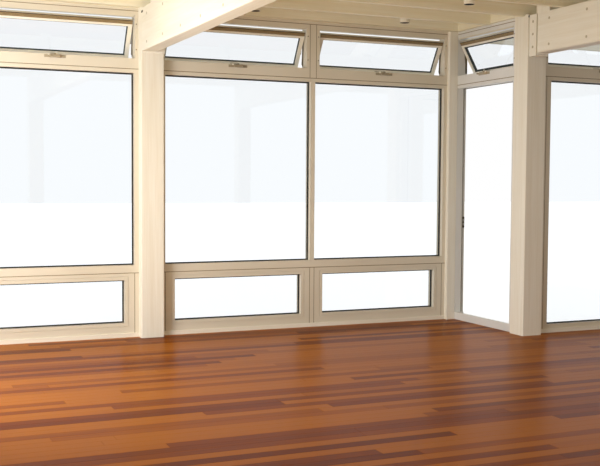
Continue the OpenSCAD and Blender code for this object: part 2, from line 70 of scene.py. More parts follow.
def grid_faces(rows, cols, closed_rows=False, closed_cols=False):
    """The quads between neighbouring points of a rows by cols grid, closed on itself where asked."""
    r = np.arange(rows if closed_rows else rows - 1)[:, None]
    c = np.arange(cols if closed_cols else cols - 1)[None, :]
    r1, c1 = (r + 1) % rows, (c + 1) % cols
    return np.stack([r * cols + c, r1 * cols + c, r1 * cols + c1, r * cols + c1], -1).reshape(-1, 4)


def carried(profile, places, sides, ups, closed=True):
    """A profile carried along a path: each point is place + a times side + b times up."""
    profile, places = np.asarray(profile, float), np.asarray(places, float)
    points = (places[:, None] + profile[None, :, :1] * np.asarray(sides, float)[:, None]
              + profile[None, :, 1:] * np.asarray(ups, float)[:, None])
    return points.reshape(-1, 3), grid_faces(len(places), len(profile), closed, True)


def mitred(centre, u, w, half_u, half_w, profile):
    """A profile carried round a rectangle, with mitred corners: a is measured inwards from the
    rectangle's edge, along both of its directions at a corner, and b along the rectangle's normal."""
    signs = np.array([[-1, -1], [1, -1], [1, 1], [-1, 1]])
    places = centre + signs[:, :1] * half_u * u + signs[:, 1:] * half_w * w
    sides = -signs[:, :1] * u - signs[:, 1:] * w
    return carried(profile, places, sides, np.tile(np.cross(u, w), (4, 1)))


def turned(profile, centre, axis, side, steps=24):
    """A profile of radius and height turned about an axis through a centre: each point is the centre,
    plus the radius times the turned side direction, plus the height times the axis."""
    angle = np.linspace(0, 2 * math.pi, steps, endpoint=False)[:, None, None]
    profile = np.asarray(profile, float)[None]
    across = np.cross(axis, side)
    points = (centre + profile[..., :1] * (np.cos(angle) * side + np.sin(angle) * across)
              + profile[..., 1:] * axis)
    return points.reshape(-1, 3), grid_faces(steps, profile.shape[1], True, False)


BAR_POINTS = 12


def bars(lo, hi, bevel, face=(0, 0, 1)):
    """Many boxes at once, each with the edges of one face bevelled. The box is 4 back corners,
    4 corners set back by the bevel and 4 corners of the face, drawn in by the bevel."""
    lo, hi = np.atleast_2d(lo).astype(float), np.atleast_2d(hi).astype(float)
    axis = int(np.argmax(np.abs(face)))
    i, j = [k for k in range(3) if k != axis]
    front = np.where(face[axis] > 0, hi[:, axis], lo[:, axis])
    back = np.where(face[axis] > 0, lo[:, axis], hi[:, axis])
    inwards = -np.sign(face[axis])
    points = np.zeros((len(lo), BAR_POINTS, 3))
    corners = [(0, 0), (1, 0), (1, 1), (0, 1)]
    for level, (depth, inset) in enumerate([(back, 0), (front + inwards * bevel, 0), (front, bevel)]):
        for k, (a, b) in enumerate(corners):
            points[:, level * 4 + k, axis] = depth
            points[:, level * 4 + k, i] = hi[:, i] - inset if a else lo[:, i] + inset
            points[:, level * 4 + k, j] = hi[:, j] - inset if b else lo[:, j] + inset
    side = [[level * 4 + k, level * 4 + (k + 1) % 4, level * 4 + 4 + (k + 1) % 4, level * 4 + 4 + k]
            for level in range(2) for k in range(4)]
    faces = np.array(side + [[3, 2, 1, 0], [8, 9, 10, 11]])
    outwards = np.cross(np.eye(3)[i], np.eye(3)[j])[axis] * np.sign(face[axis]) > 0
    faces = faces if outwards else faces[:, ::-1]
    starts = BAR_POINTS * np.arange(len(lo))[:, None, None]
    return points.reshape(-1, 3), (faces[None] + starts).reshape(-1, 4)


def scattered(shape, places):
    """A small shape repeated at many places: each copy is its points plus the place."""
    points, faces = shape
    places = np.asarray(places, float)
    return ((places[:, None] + points[None]).reshape(-1, 3),
            (faces[None] + len(points) * np.arange(len(places))[:, None, None]).reshape(-1, 4))


def piece(name, shape, material, body="root", weld=False, smooth=False, stands_for=()):
    """A mesh of the shape, dressed and riding on its body. Welding closes seams and poles."""
    mesh = bpy.data.meshes.new(name)
    points, faces = shape
    mesh.from_pydata(points.tolist(), [], faces.tolist())
    if weld:
        work = bmesh.new()
        work.from_mesh(mesh)
        bmesh.ops.remove_doubles(work, verts=work.verts, dist=1e-5)
        bmesh.ops.dissolve_degenerate(work, edges=work.edges, dist=1e-6)
        bmesh.ops.recalc_face_normals(work, faces=work.faces)
        work.to_mesh(mesh)
        work.free()
    mesh.validate()
    if smooth:
        mesh.polygons.foreach_set("use_smooth", np.ones(len(mesh.polygons), bool))
        mesh.set_sharp_from_angle(angle=math.radians(40))
    made = bpy.data.objects.new(name, mesh)
    bpy.context.scene.collection.objects.link(made)
    mesh.materials.append(material)
    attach(made, body)
    if stands_for:
        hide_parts(*stands_for)
    return made


def solids(node):
    """The separate solids of a CAD node, each as an array of its points."""
    work = bmesh.new()
    work.from_mesh(NODES[node].data)
    bmesh.ops.remove_doubles(work, verts=work.verts, dist=1e-5)
    found, seen = [], set()
    for start in work.verts:
        if start.index in seen:
            continue
        island, queue = [], [start]
        seen.add(start.index)
        while queue:
            v = queue.pop()
            island.append(v.co[:])
            for e in v.link_edges:
                other = e.other_vert(v)
                if other.index not in seen:
                    seen.add(other.index)
                    queue.append(other)
        found.append(np.array(island))
    work.free()
    return found


def boxes(node):
    """The boxes of a CAD node's solids: pairs of the lower and the upper corner, from left to right."""
    found = [(points.min(0), points.max(0)) for points in solids(node)]
    return sorted(found, key=lambda box: (round(box[0][0], 3), round(box[0][1], 3), round(box[0][2], 3)))


def sorted_solids(node):
    """A node's solids in one order for every node: by wall, from left to right."""
    return sorted(solids(node), key=lambda points: tuple(np.round(points.mean(0)[:2], 1)))


def tilted(points):
    """The centre, axes and half sizes of a tilted box: the axes of the points' spread, the longest
    first (level), then the one that points up, and the thin one, turned into the room."""
    centre = (points.min(0) + points.max(0)) / 2
    axes = np.linalg.eigh(np.cov((points - centre).T))[1]
    u, w = axes[:, 2], axes[:, 1]
    w = w * np.sign(w[2])
    u = u * np.sign(u[0] - u[1])
    axes = np.array([u, w, np.cross(u, w)])
    return centre, axes, np.abs((points - centre) @ axes.T).max(0)


# Materials

def new_material(name):
    """An empty node material and its shader."""
    made = bpy.data.materials.new(name)
    made.use_nodes = True
    return made, made.node_tree.nodes["Principled BSDF"]


def fill(tree, socket, value):
    """Links an output to a socket, or sets the socket's own value."""
    if isinstance(value, bpy.types.NodeSocket):
        tree.links.new(value, socket)
    else:
        socket.default_value = value


def add(material, kind, settings=None, **links):
    """Adds a node with its own settings, and sets or links its inputs: i0, i1 and so on by number,
    and the others by name, with an underscore for each space."""
    tree = material.node_tree
    made = tree.nodes.new(kind)
    for key, value in (settings or {}).items():
        setattr(made, key, value)
    for key, value in links.items():
        numbered = key[0] == "i" and key[1:].isdigit()
        fill(tree, made.inputs[int(key[1:]) if numbered else key.replace("_", " ")], value)
    return made


def set_sockets(material, shader, **links):
    """Sets or links sockets of a shader."""
    for key, value in links.items():
        fill(material.node_tree, shader.inputs[key.replace("_", " ")], value)


def shades(ramp, *stops):
    """The colour of a ramp with these stops, which are (position, hex colour)."""
    elements = ramp.color_ramp.elements
    while len(elements) < len(stops):
        elements.new(0.5)
    for element, (position, colour) in zip(elements, stops):
        element.position = position
        element.color = (*linear(colour), 1)
    return ramp.outputs["Color"]


def stretched(material, along, length, across):
    """Object coordinates in pattern lengths: one pattern is length metres along an axis, and across
    metres in the other two."""
    coords = add(material, "ShaderNodeTexCoord").outputs["Object"]
    scale = [1 / across] * 3
    scale[along] = 1 / length
    return add(material, "ShaderNodeMapping", Vector=coords, Scale=scale).outputs["Vector"]


# A math node that gives i0 times i1, plus i2
WEIGHED = {"operation": "MULTIPLY_ADD"}


def timber(name, along, dark, light, roughness, grain_mm=6.0, bump=0.15, toned=0.0):
    """Planed timber with a lime wash or oil: long soft streaks of grain, six times as wide as the fine
    fibre over them, which also drive the roughness and a shallow bump. Boards may differ by a tone."""
    made, shader = new_material(name)
    streaks = add(made, "ShaderNodeTexNoise", Vector=stretched(made, along, 0.9, grain_mm * 6 * MM),
                  Scale=1.0, Detail=3.0, Roughness=0.55).outputs["Fac"]
    fibre = add(made, "ShaderNodeTexNoise", Vector=stretched(made, along, 0.25, grain_mm * MM),
                Scale=1.0, Detail=2.0, Roughness=0.5).outputs["Fac"]
    both = add(made, "ShaderNodeMath", WEIGHED, i0=fibre, i1=0.45, i2=streaks).outputs[0]
    shade = both
    if toned:
        tone = add(made, "ShaderNodeAttribute", {"attribute_name": "tone"}).outputs["Fac"]
        shade = add(made, "ShaderNodeMath", WEIGHED, i0=tone, i1=toned, i2=both).outputs[0]
    set_sockets(
        made, shader,
        Base_Color=shades(add(made, "ShaderNodeValToRGB", Fac=shade), (0.45, dark), (0.95 + toned, light)),
        Roughness=add(made, "ShaderNodeMapRange", Value=fibre, To_Min=roughness - 0.06,
                      To_Max=roughness + 0.08).outputs[0],
        Normal=add(made, "ShaderNodeBump", Strength=bump, Distance=0.4 * MM, Height=both).outputs["Normal"])
    return made


def coated_metal(name, dark, light, roughness):
    """Powder-coated aluminium, and enamel or frosted plastic like it: an even colour with a faint drift
    about 0.8 m long, and a satin surface with orange peel. The peel's pattern is 2.2 mm (450 in a
    metre), coarser than the real one's, so that it shows."""
    made, shader = new_material(name)
    coords = add(made, "ShaderNodeTexCoord").outputs["Object"]
    drift = add(made, "ShaderNodeTexNoise", Vector=coords, Scale=1.3, Detail=2.0).outputs["Fac"]
    peel = add(made, "ShaderNodeTexNoise", Vector=coords, Scale=450.0, Detail=1.0).outputs["Fac"]
    set_sockets(
        made, shader,
        Base_Color=shades(add(made, "ShaderNodeValToRGB", Fac=drift), (0.3, dark), (0.7, light)),
        Roughness=add(made, "ShaderNodeMapRange", Value=peel, To_Min=roughness - 0.05,
                      To_Max=roughness + 0.05).outputs[0],
        Normal=add(made, "ShaderNodeBump", Strength=0.08, Distance=0.1 * MM, Height=peel).outputs["Normal"])
    return made


def bright_metal(name, dark, light, roughness):
    """Anodised aluminium: a metal whose brushed lines show as a faint change of shade and roughness.
    The lines are 1.2 mm wide and 80 mm long, coarser than real ones, so that they show."""
    made, shader = new_material(name)
    brushed = add(made, "ShaderNodeTexNoise", Vector=stretched(made, 0, 0.08, 1.2 * MM), Scale=1.0,
                  Detail=2.0).outputs["Fac"]
    set_sockets(
        made, shader, Metallic=1.0,
        Base_Color=shades(add(made, "ShaderNodeValToRGB", Fac=brushed), (0.3, dark), (0.7, light)),
        Roughness=add(made, "ShaderNodeMapRange", Value=brushed, To_Min=roughness - 0.08,
                      To_Max=roughness + 0.08).outputs[0])
    return made


def rubber(name, colour, sheen):
    """Extruded rubber, and the painted shade of grooves and rebates and matt moulded plastic like it: soft,
    dull and even, with a faint mottle of 11 mm (90 in a metre)."""
    made, shader = new_material(name)
    coords = add(made, "ShaderNodeTexCoord").outputs["Object"]
    mottle = add(made, "ShaderNodeTexNoise", Vector=coords, Scale=90.0, Detail=2.0).outputs["Fac"]
    set_sockets(
        made, shader, Roughness=0.55,
        Base_Color=shades(add(made, "ShaderNodeValToRGB", Fac=mottle), (0.3, colour), (0.8, sheen)))
    return made


def clear_glass(name):
    """Float glass: clear, with a faint cool tint and a barely uneven surface, in waves of 0.5 m."""
    made, shader = new_material(name)
    coords = add(made, "ShaderNodeTexCoord").outputs["Object"]
    ripple = add(made, "ShaderNodeTexNoise", Vector=coords, Scale=2.0, Detail=1.0).outputs["Fac"]
    uneven = add(made, "ShaderNodeBump", Strength=0.02, Distance=0.2 * MM, Height=ripple).outputs["Normal"]
    set_sockets(made, shader, Base_Color=(*linear("#f8fcff"), 1), Roughness=0.0, IOR=1.5,
                Transmission_Weight=1.0, Normal=uneven)
    return made


def hardwood(name):
    """Strip hardwood, planed and varnished: each board has its own tone, from deep red-brown to
    orange-brown, with grain 12 mm wide along it. The varnish shines weakly, at a low specular level,
    so that the white background it reflects doesn't bleach the wood."""
    made, shader = new_material(name)
    tone = add(made, "ShaderNodeAttribute", {"attribute_name": "tone"}).outputs["Fac"]
    grain = add(made, "ShaderNodeTexNoise", Vector=stretched(made, 0, 0.6, 12 * MM), Scale=1.0,
                Detail=4.0, Roughness=0.6).outputs["Fac"]
    mixed = add(made, "ShaderNodeMath", WEIGHED, i0=grain, i1=0.7, i2=tone).outputs[0]
    set_sockets(
        made, shader,
        Base_Color=shades(add(made, "ShaderNodeValToRGB", Fac=mixed), (0.3, "#642b04"), (0.55, "#7e3d06"),
                          (0.8, "#93500b"), (1.0, "#a56013")),
        Roughness=add(made, "ShaderNodeMapRange", Value=grain, To_Min=0.26, To_Max=0.40).outputs[0],
        Normal=add(made, "ShaderNodeBump", Strength=0.05, Distance=0.2 * MM, Height=grain).outputs["Normal"],
        Specular_IOR_Level=0.02)
    return made


POST_TIMBER = timber("lime-washed post timber", 2, "#ebe4d2", "#f5f1e4", 0.5)
BEAM_TIMBER = timber("lime-washed beam timber", 1, "#ebe4d2", "#f5f1e4", 0.5)
LONG_TIMBER = timber("lime-washed fascia timber", 0, "#ebe4d2", "#f5f1e4", 0.5)
SOFFIT_TIMBER = timber("lime-washed soffit boards", 0, "#dfd0ac", "#efe4c8", 0.5, toned=0.3)
CEILING_TIMBER = timber("lime-washed ceiling timber", 0, "#efe5c4", "#f8f2dc", 0.45)
CEILING_TIMBER_Y = timber("lime-washed ceiling timber, crosswise", 1, "#efe5c4", "#f8f2dc", 0.45)
LINING_TIMBER = timber("lime-washed lining boards", 1, "#e6d9b2", "#f4ecd0", 0.45, toned=0.3)
SAWN_TIMBER = timber("sawn treated pine", 0, "#8d7a5c", "#ab9878", 0.8, grain_mm=9.0, bump=0.5)
SAWN_TIMBER_Y = timber("sawn treated pine, crosswise", 1, "#8d7a5c", "#ab9878", 0.8, grain_mm=9.0, bump=0.5)
FRAME_COAT = coated_metal("cream powder coat", "#dad1bd", "#e1d9c7", 0.38)
# Painted light: the sashes have the frames' powder coat, drawn lighter because their tilted faces catch the
# sky
SASH_COAT_LIT = coated_metal("cream powder coat with painted light", "#f6f1e2", "#fbf7ec", 0.38)
DOOR_COAT = coated_metal("silver-white powder coat", "#dddcd6", "#e7e6e2", 0.38)
# Painted shade: the winders' cream enamel drawn as dark as its shaded underside
WINDER_COAT_SHADED = coated_metal("cream enamel with painted shade", "#a0937a", "#b0a38a", 0.32)
DARK_BRONZE = bright_metal("dark bronze plate", "#3f372b", "#574c3c", 0.42)
BRONZE = bright_metal("bronze anodised stays", "#6f6450", "#857a64", 0.42)
GASKET = rubber("glazing gasket", "#20201f", "#34342f")
DOOR_SEAL = rubber("grey door seal", "#77716a", "#8a847a")
SASH_GASKET = rubber("grey glazing gasket", "#2c3538", "#414c4e")
GLASS = clear_glass("float glass")
STRIP = rubber("brown weather strip", "#32281c", "#44382a")
# Painted shade: a brown sheet over the awning sashes' rebates, which lie in shadow
REBATE_SHADE_COAT = rubber("brown painted shade of sash rebates", "#a08a62", "#b29b72")
# Painted shade: brown strips in the frames' joint grooves, standing in for the grooves' shadow
GROOVE_SHADE_COAT = rubber("brown painted shade of frame grooves", "#8b7a5b", "#9a8969")
PLUG_TIMBER = timber("timber plugs", 2, "#b3a98e", "#c4b99d", 0.55)
LAMP_BLACK = rubber("matt black lamp baffle", "#030303", "#0a0a0a")
LENS = coated_metal("frosted lamp lens", "#8f8d87", "#a09e97", 0.3)
FLOOR_WOOD = hardwood("varnished strip hardwood")
ROOF_COAT = coated_metal("painted roof sheet", "#cfcfca", "#d8d8d4", 0.42)
LAMP_COAT = coated_metal("cream lamp enamel", "#f0e8d4", "#f6f0e0", 0.3)


def dress(material, slot, *nodes):
    """Gives CAD nodes their finish."""
    for name in nodes:
        NODES[name].data.materials.clear()
        NODES[name].data.materials.append(material)


dress(POST_TIMBER, "painted_timber", "post_left", "post_middle", "post_side", "post_right", "corner_post",
      "inner_post_0", "inner_post_1", "inner_post_2", "inner_post_3", "beam_cleats", "beam_blocks")
dress(BEAM_TIMBER, "painted_timber", "beam_0", "beam_1", "beam_2", "beam_3")
dress(LONG_TIMBER, "painted_timber", "fascia", "eave_soffit", "skirting")
dress(CEILING_TIMBER, "limed_timber", "front_lintel", "side_lintel", "inner_lintel", "ceiling_joists",
      "ceiling_lining")
dress(CEILING_TIMBER_Y, "limed_timber", "return_lintel")
dress(SAWN_TIMBER, "sawn_timber", "ground_beams")
dress(SAWN_TIMBER_Y, "sawn_timber", "floor_joists", "eave_rafters")
dress(FLOOR_WOOD, "floor_timber", "floor_boards")
dress(FRAME_COAT, "frame_metal", "front_frame_left", "front_frame_right", "side_frame")
dress(DOOR_COAT, "frame_metal", "door_frame", "door_sill")
dress(SASH_COAT_LIT, "frame_metal", "awning_sashes")
dress(DARK_BRONZE, "fitting_metal", "door_keeper")
dress(BRONZE, "fitting_metal", "window_stays")
dress(WINDER_COAT_SHADED, "fitting_metal", "winders")
dress(GLASS, "window_glass", "front_glass", "side_glass", "awning_glass")
dress(ROOF_COAT, "roof_metal", "roof_deck")
dress(LAMP_COAT, "lamp_enamel", "downlights")


# Floor, ceiling and soffit boards

RANDOM = np.random.default_rng(7)
POSTS = ["post_left", "post_middle", "post_side", "post_right", "inner_post_0", "inner_post_1",
         "inner_post_2", "inner_post_3", "corner_post"]
RETURN_LO, RETURN_HI = (np.array(c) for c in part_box("door_frame"))
FLOOR_FIT = 3 * MM
FLOOR_STRIP, SOFFIT_BOARD, LINING_BOARD = 82 * MM, 92 * MM, 95 * MM
STRIP_LENGTH, SOFFIT_LENGTH = 2.4, 3.6


def strips(lo, hi, width, length, holes):
    """Boards along X in rows of one width over a rectangle, with staggered ends and about one length,
    cut out round the holes (x0, x1, y0, y1). Gives the boards' corners (x0, x1, y0, y1) and tones."""
    found, tones = [], []
    for y0 in np.arange(lo[1], hi[1] - 1e-6, width):
        y1 = min(y0 + width, hi[1])
        ends = [lo[0], lo[0] + length * RANDOM.uniform(0.2, 1.0)]
        while ends[-1] < hi[0] - length * 0.4:
            ends.append(ends[-1] + length * RANDOM.uniform(0.7, 1.2))
        ends[-1] = hi[0]
        for x0, x1 in zip(ends, ends[1:]):
            parts = [(x0, x1, y0, y1)]
            for h in holes:
                parts = [part for whole in parts for part in cut_round(whole, h)]
            found += parts
            tones += [RANDOM.uniform(0, 1)] * len(parts)
    return np.array(found), np.array(tones)


def cut_round(board, hole):
    """What a hole leaves of a board: the parts beside it and those before and behind it, without
    slivers under 2 mm."""
    x0, x1, y0, y1 = board
    a, b, c, d = max(x0, hole[0]), min(x1, hole[1]), max(y0, hole[2]), min(y1, hole[3])
    if a >= b or c >= d:
        return [board]
    parts = [(x0, a, y0, y1), (b, x1, y0, y1), (a, b, y0, c), (a, b, d, y1)]
    return [part for part in parts if part[1] - part[0] > 2 * MM and part[3] - part[2] > 2 * MM]


def boarded(name, found, tones, z0, z1, gap, bevel, face, material, stands_for):
    """Boards over corners (x0, x1, y0, y1) between two heights, a gap apart, with one bevelled face
    and a tone for every board."""
    lo = np.column_stack([found[:, 0] + gap / 2, found[:, 2] + gap / 2, np.full(len(found), z0)])
    hi = np.column_stack([found[:, 1] - gap / 2, found[:, 3] - gap / 2, np.full(len(found), z1)])
    made = piece(name, bars(lo, hi, bevel, face), material, stands_for=stands_for)
    tone = made.data.attributes.new("tone", "FLOAT", "POINT")
    tone.data.foreach_set("value", np.repeat(tones, BAR_POINTS))


def floor():
    """Strip floor: hardwood boards along X, cut round the posts and back from the return wall."""
    holes = []
    for name in POSTS:
        lo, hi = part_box(name)
        holes.append((lo[0] - FLOOR_FIT, hi[0] + FLOOR_FIT, lo[1] - FLOOR_FIT, hi[1] + FLOOR_FIT))
    holes.append((RETURN_HI[0], FLOOR_HI[0] + 1, RETURN_LO[1], FLOOR_HI[1] + 1))
    found, tones = strips(FLOOR_LO, FLOOR_HI, FLOOR_STRIP, STRIP_LENGTH, holes)
    boarded("strip_floor", found, tones, FLOOR_LO[2], FLOOR_HI[2], 0.4 * MM, 0.8 * MM, Z, FLOOR_WOOD,
            ["floor_boards"])


def soffit():
    """V-jointed boards along X under the eaves, outside the walls."""
    lo, hi = (np.array(c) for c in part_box("eave_soffit"))
    holes = [(lo[0] - 1, RETURN_HI[0], lo[1] - 1, RETURN_HI[1])]
    found, tones = strips(lo, hi, SOFFIT_BOARD, SOFFIT_LENGTH, holes)
    boarded("soffit_boards", found, tones, lo[2], hi[2], 0.6 * MM, 3 * MM, -Z, SOFFIT_TIMBER,
            ["eave_soffit"])


def lining():
    """V-jointed lining boards along Y over the ceiling joists."""
    lo, hi = (np.array(c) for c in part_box("ceiling_lining"))
    edges = np.linspace(lo[0], hi[0], round((hi[0] - lo[0]) / LINING_BOARD) + 1)
    count = len(edges) - 1
    found = np.column_stack([edges[:-1], edges[1:], np.full(count, lo[1]), np.full(count, hi[1])])
    boarded("lining_boards", found, RANDOM.uniform(0, 1, len(found)), lo[2], hi[2], 0.4 * MM, 2.5 * MM, -Z,
            LINING_TIMBER, ["ceiling_lining"])


def joists():
    """Ceiling joists with their lower edges planed off."""
    found = boxes("ceiling_joists")
    shape = bars(np.array([lo for lo, hi in found]), np.array([hi for lo, hi in found]), 3 * MM, -Z)
    piece("planed_joists", shape, CEILING_TIMBER, stands_for=["ceiling_joists"])


# How far the front beams reach below the solids that they replace
BEAM_DROP = 23 * MM


def front_beam(k):
    """The lower and upper corner of a front beam: the solid's, moved flush with its post, and its foot
    lower by BEAM_DROP."""
    lo, hi = (np.array(c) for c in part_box(f"beam_{k}"))
    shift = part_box(("post_left", "post_middle")[k])[0][0] - lo[0]
    return lo + shift * X - BEAM_DROP * Z, hi + shift * X


BEAMS = [front_beam(0), front_beam(1)] + [tuple(np.array(c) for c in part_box(f"beam_{k}")) for k in (2, 3)]


def beams():
    """The front wall's two beams with their arrises planed off, set flush with the posts' left faces."""
    lo, hi = (np.array([box[i] for box in BEAMS[:2]]) for i in (0, 1))
    piece("planed_beams", bars(lo, hi, 4 * MM, -Z), BEAM_TIMBER,
          stands_for=["beam_0", "beam_1"])


SHEET_WIDTH = 0.45
SEAM_HALF = 5 * MM


def roof():
    """Standing seams along the roof sheets, and a folded capping over the fascia."""
    lo, hi = (np.array(c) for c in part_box("roof_deck"))
    x = np.linspace(lo[0], hi[0], round((hi[0] - lo[0]) / SHEET_WIDTH) + 1)[1:-1]
    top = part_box("fascia")[1][2]
    y0, y1, z0, z1 = (np.full(len(x), v) for v in (lo[1], hi[1], hi[2], top - 1 * MM))
    seams = bars(np.column_stack([x - SEAM_HALF, y0, z0]), np.column_stack([x + SEAM_HALF, y1, z1]),
                 2 * MM, Z)
    piece("roof_seams", seams, ROOF_COAT)
    lo, hi = (np.array(c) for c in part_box("fascia"))
    centre, half = (lo + hi) / 2, (hi - lo) / 2
    profile = np.array([(-2, -30), (-2, 2), (27, 2), (27, -9), (26, -9), (26, 1), (-1, 1), (-1, -30)]) * MM
    capping = mitred(np.array([centre[0], centre[1], top]), X, Y, half[0], half[1], profile)
    piece("fascia_capping", capping, ROOF_COAT)


# Glazing: the panes reach BITE into their frames

BITE = 10 * MM
SASH_REBATE = 3 * MM
GASKET_SHAPE = np.array([(-1, 0.2), (11, 0.2), (9, 4.5), (-1, 7)]) * MM


def glazing():
    """Rubber gaskets round every pane of the walls, on both faces."""
    shapes = []
    for node in ("front_glass", "side_glass"):
        for lo, hi in boxes(node):
            centre, half = (lo + hi) / 2, (hi - lo) / 2
            for u, w, out in ((X, Z, -Y), (Z, X, Y)):
                sizes = half @ u - BITE, half @ w - BITE
                shapes.append(mitred(centre + out * half[1], u, w, *sizes, GASKET_SHAPE))
    piece("pane_gaskets", join(shapes), GASKET)


def sash_trim():
    """Gaskets round the awning windows' panes. Each top member has a brown band of painted shade over its
    recessed rebate, with three thin ribs of weather strip, and a wider and higher rib along its upper edge."""
    gaskets, rebate_shade_strips, ribs = [], [], []
    for glass, sash in zip(sorted_solids("awning_glass"), sorted_solids("awning_sashes")):
        centre, axes, half = tilted(glass)
        u, w, n = axes
        # The gaskets of the window over the doorway are thicker
        gasket = GASKET_SHAPE * (1.5 if abs(u[1]) > 0.5 else 0.8)
        for a, b, out, half_a, half_b in ((u, w, n, half[0], half[1]), (w, u, -n, half[1], half[0])):
            gaskets.append(mitred(centre + out * half[2], a, b, half_a - BITE, half_b - BITE, gasket))
        reach = (sash - centre) @ axes.T
        top, side = reach[:, 1].max(), reach[:, 0].max()
        face = reach[:, 2].max() - SASH_REBATE
        # In millimetres: from and to, negative below the sash's top edge, and the height over its rebate
        # The first strip is painted shade, a thin brown sheet over the rebate where the recess lies in
        # shadow; the others are ribs of weather strip
        for low, high, rise, found in [(-34, -1, 0.6, rebate_shade_strips), (-6, 0, 2.6, ribs)] + [
                (-13.5 - 8 * k, -12 - 8 * k, 2.2, ribs) for k in range(3)]:
            profile = np.array([(low, -0.5), (high, -0.5), (high, rise), (low, rise)]) * MM
            ends = centre + np.array([[-side], [side]]) * u + top * w + face * n
            found.append(carried(profile, ends, np.tile(w, (2, 1)), np.tile(n, (2, 1)), closed=False))
    piece("sash_gaskets", join(gaskets), SASH_GASKET)
    piece("sash_rebate_painted_shade", join(rebate_shade_strips), REBATE_SHADE_COAT)
    piece("sash_weather_strips", join(ribs), STRIP)


# Frames' joints and seals, and the painted shade in their grooves and gaps, with heights over the floor

# The level joints: over the lower lights, at the awning windows' foot, and at their head
LEVEL_JOINTS = [0.532, 2.209, 2.680]
SKIRTING_TOP = 0.034
AWNING_HEAD, STOP_DEEP = 2.645, 12 * MM
GROOVE_HALF, GROOVE_DEEP = 3 * MM, 5 * MM
# Widths of the frames' uprights: the front wall's, the cover in every bay's middle, and the side wall's
JAMB, MULLION = 36 * MM, 43 * MM
COVER = 61 * MM
CORNER_JAMB, AWNING_JAMB, AWNING_POST, SIDE_JAMB = 90 * MM, 30 * MM, 125 * MM, 80 * MM
SEAL = 7 * MM
# The painted shadows of the gaps over the beams' seats: the post, the depth in mm, and where the gap starts
SEAT_SHADOWS = [("post_left", 50, 2.652), ("post_middle", 50, 2.652), ("post_side", 15, 2.674)]
SEAT_SHADOW_HEIGHT = 18 * MM
FACES_Y = [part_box(node)[0][1] for node in ("front_frame_left", "side_frame")]


def groove_painted_shade():
    """Painted shade in the joint grooves of the frames' inner faces: brown strips 1 mm back from the face,
    which stand in for the grooves' shadow, along the awning windows' foot and head and over the lower
    lights, and up the upright joints."""
    lo, hi = [], []
    for node, along, ways in (("front_frame_left", 0, LEVEL_JOINTS), ("front_frame_right", 0, LEVEL_JOINTS),
                              ("side_frame", 0, LEVEL_JOINTS[1:]), ("door_frame", 1, LEVEL_JOINTS[1:])):
        a, b = (np.array(c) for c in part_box(node))
        across = 1 - along
        for height in ways:
            start, end = a.copy(), b.copy()
            start[across] = a[across] + 1 * MM
            end[across] = a[across] + GROOVE_DEEP
            start[2], end[2] = FLOOR_TOP + height - GROOVE_HALF, FLOOR_TOP + height + GROOVE_HALF
            lo.append(start)
            hi.append(end)
        if along == 0:
            lower = LEVEL_JOINTS[1] if node == "side_frame" else LEVEL_JOINTS[0]
            for x, over in upright_joints(node, a[0], b[0]):
                z0, z1 = LEVEL_JOINTS[1:] if over else (SKIRTING_TOP, lower)
                lo.append((x - GROOVE_HALF, a[1] + 1 * MM, FLOOR_TOP + z0))
                hi.append((x + GROOVE_HALF, a[1] + GROOVE_DEEP, FLOOR_TOP + z1))
    piece("groove_painted_shade", bars(lo, hi, 0.2 * MM, -Y), GROOVE_SHADE_COAT)


def upright_joints(node, x0, x1):
    """A frame's upright joints: each is its place, and whether it stands beside the awning windows."""
    if node == "side_frame":
        middle = x0 + CORNER_JAMB + (x1 - x0 - CORNER_JAMB - AWNING_JAMB - AWNING_POST) / 2 + AWNING_POST / 2
        return [(middle - COVER / 2, True), (middle + COVER / 2, True),
                (x0 + SIDE_JAMB, False), (x1 - SIDE_JAMB, False)]
    middle = (x0 + x1) / 2
    light = (x1 - x0 - 2 * JAMB - MULLION) / 2
    return [(middle - COVER / 2, True), (middle + COVER / 2, True)] + [
        (x, False) for x in (x0 + JAMB, x0 + JAMB + light, x1 - JAMB - light, x1 - JAMB)]


def post_seals_and_shadows():
    """Black seals at both ends of the side wall's frame, whose black is also painted shade of the gap beside
    the post, and painted shadows: black strips on the posts' left faces at the top of the beams' seats,
    where the gaps' shadows fall."""
    a, b = (np.array(c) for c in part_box("side_frame"))
    lo = [(x, a[1] - 1 * MM, FLOOR_TOP + SKIRTING_TOP) for x in (a[0], b[0] - SEAL)]
    hi = [(x, a[1] + 3 * MM, FLOOR_TOP + LEVEL_JOINTS[1]) for x in (a[0] + SEAL, b[0])]
    for post, deep, height in SEAT_SHADOWS:
        x, y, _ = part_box(post)[0]
        lo.append((x - 0.6 * MM, y - deep * MM, FLOOR_TOP + height))
        hi.append((x + 2 * MM, y - 1 * MM, FLOOR_TOP + height + SEAT_SHADOW_HEIGHT))
    # The seat strips are painted shadow; the end strips are seals whose black is also painted shade
    piece("post_seals_and_shadows", bars(lo, hi, 0.3 * MM, -Y), GASKET)


def awnings():
    """Each awning window: its sash's lower and upper corner, the axis that its wall runs along, and the
    place of its frame's inner face."""
    for sash in sorted_solids("awning_sashes"):
        lo, hi = sash.min(0), sash.max(0)
        along = 1 if hi[1] - lo[1] > hi[0] - lo[0] else 0
        yield lo, hi, along, RETURN_LO[0] if along else min(FACES_Y, key=lambda y: abs(y - lo[1]))


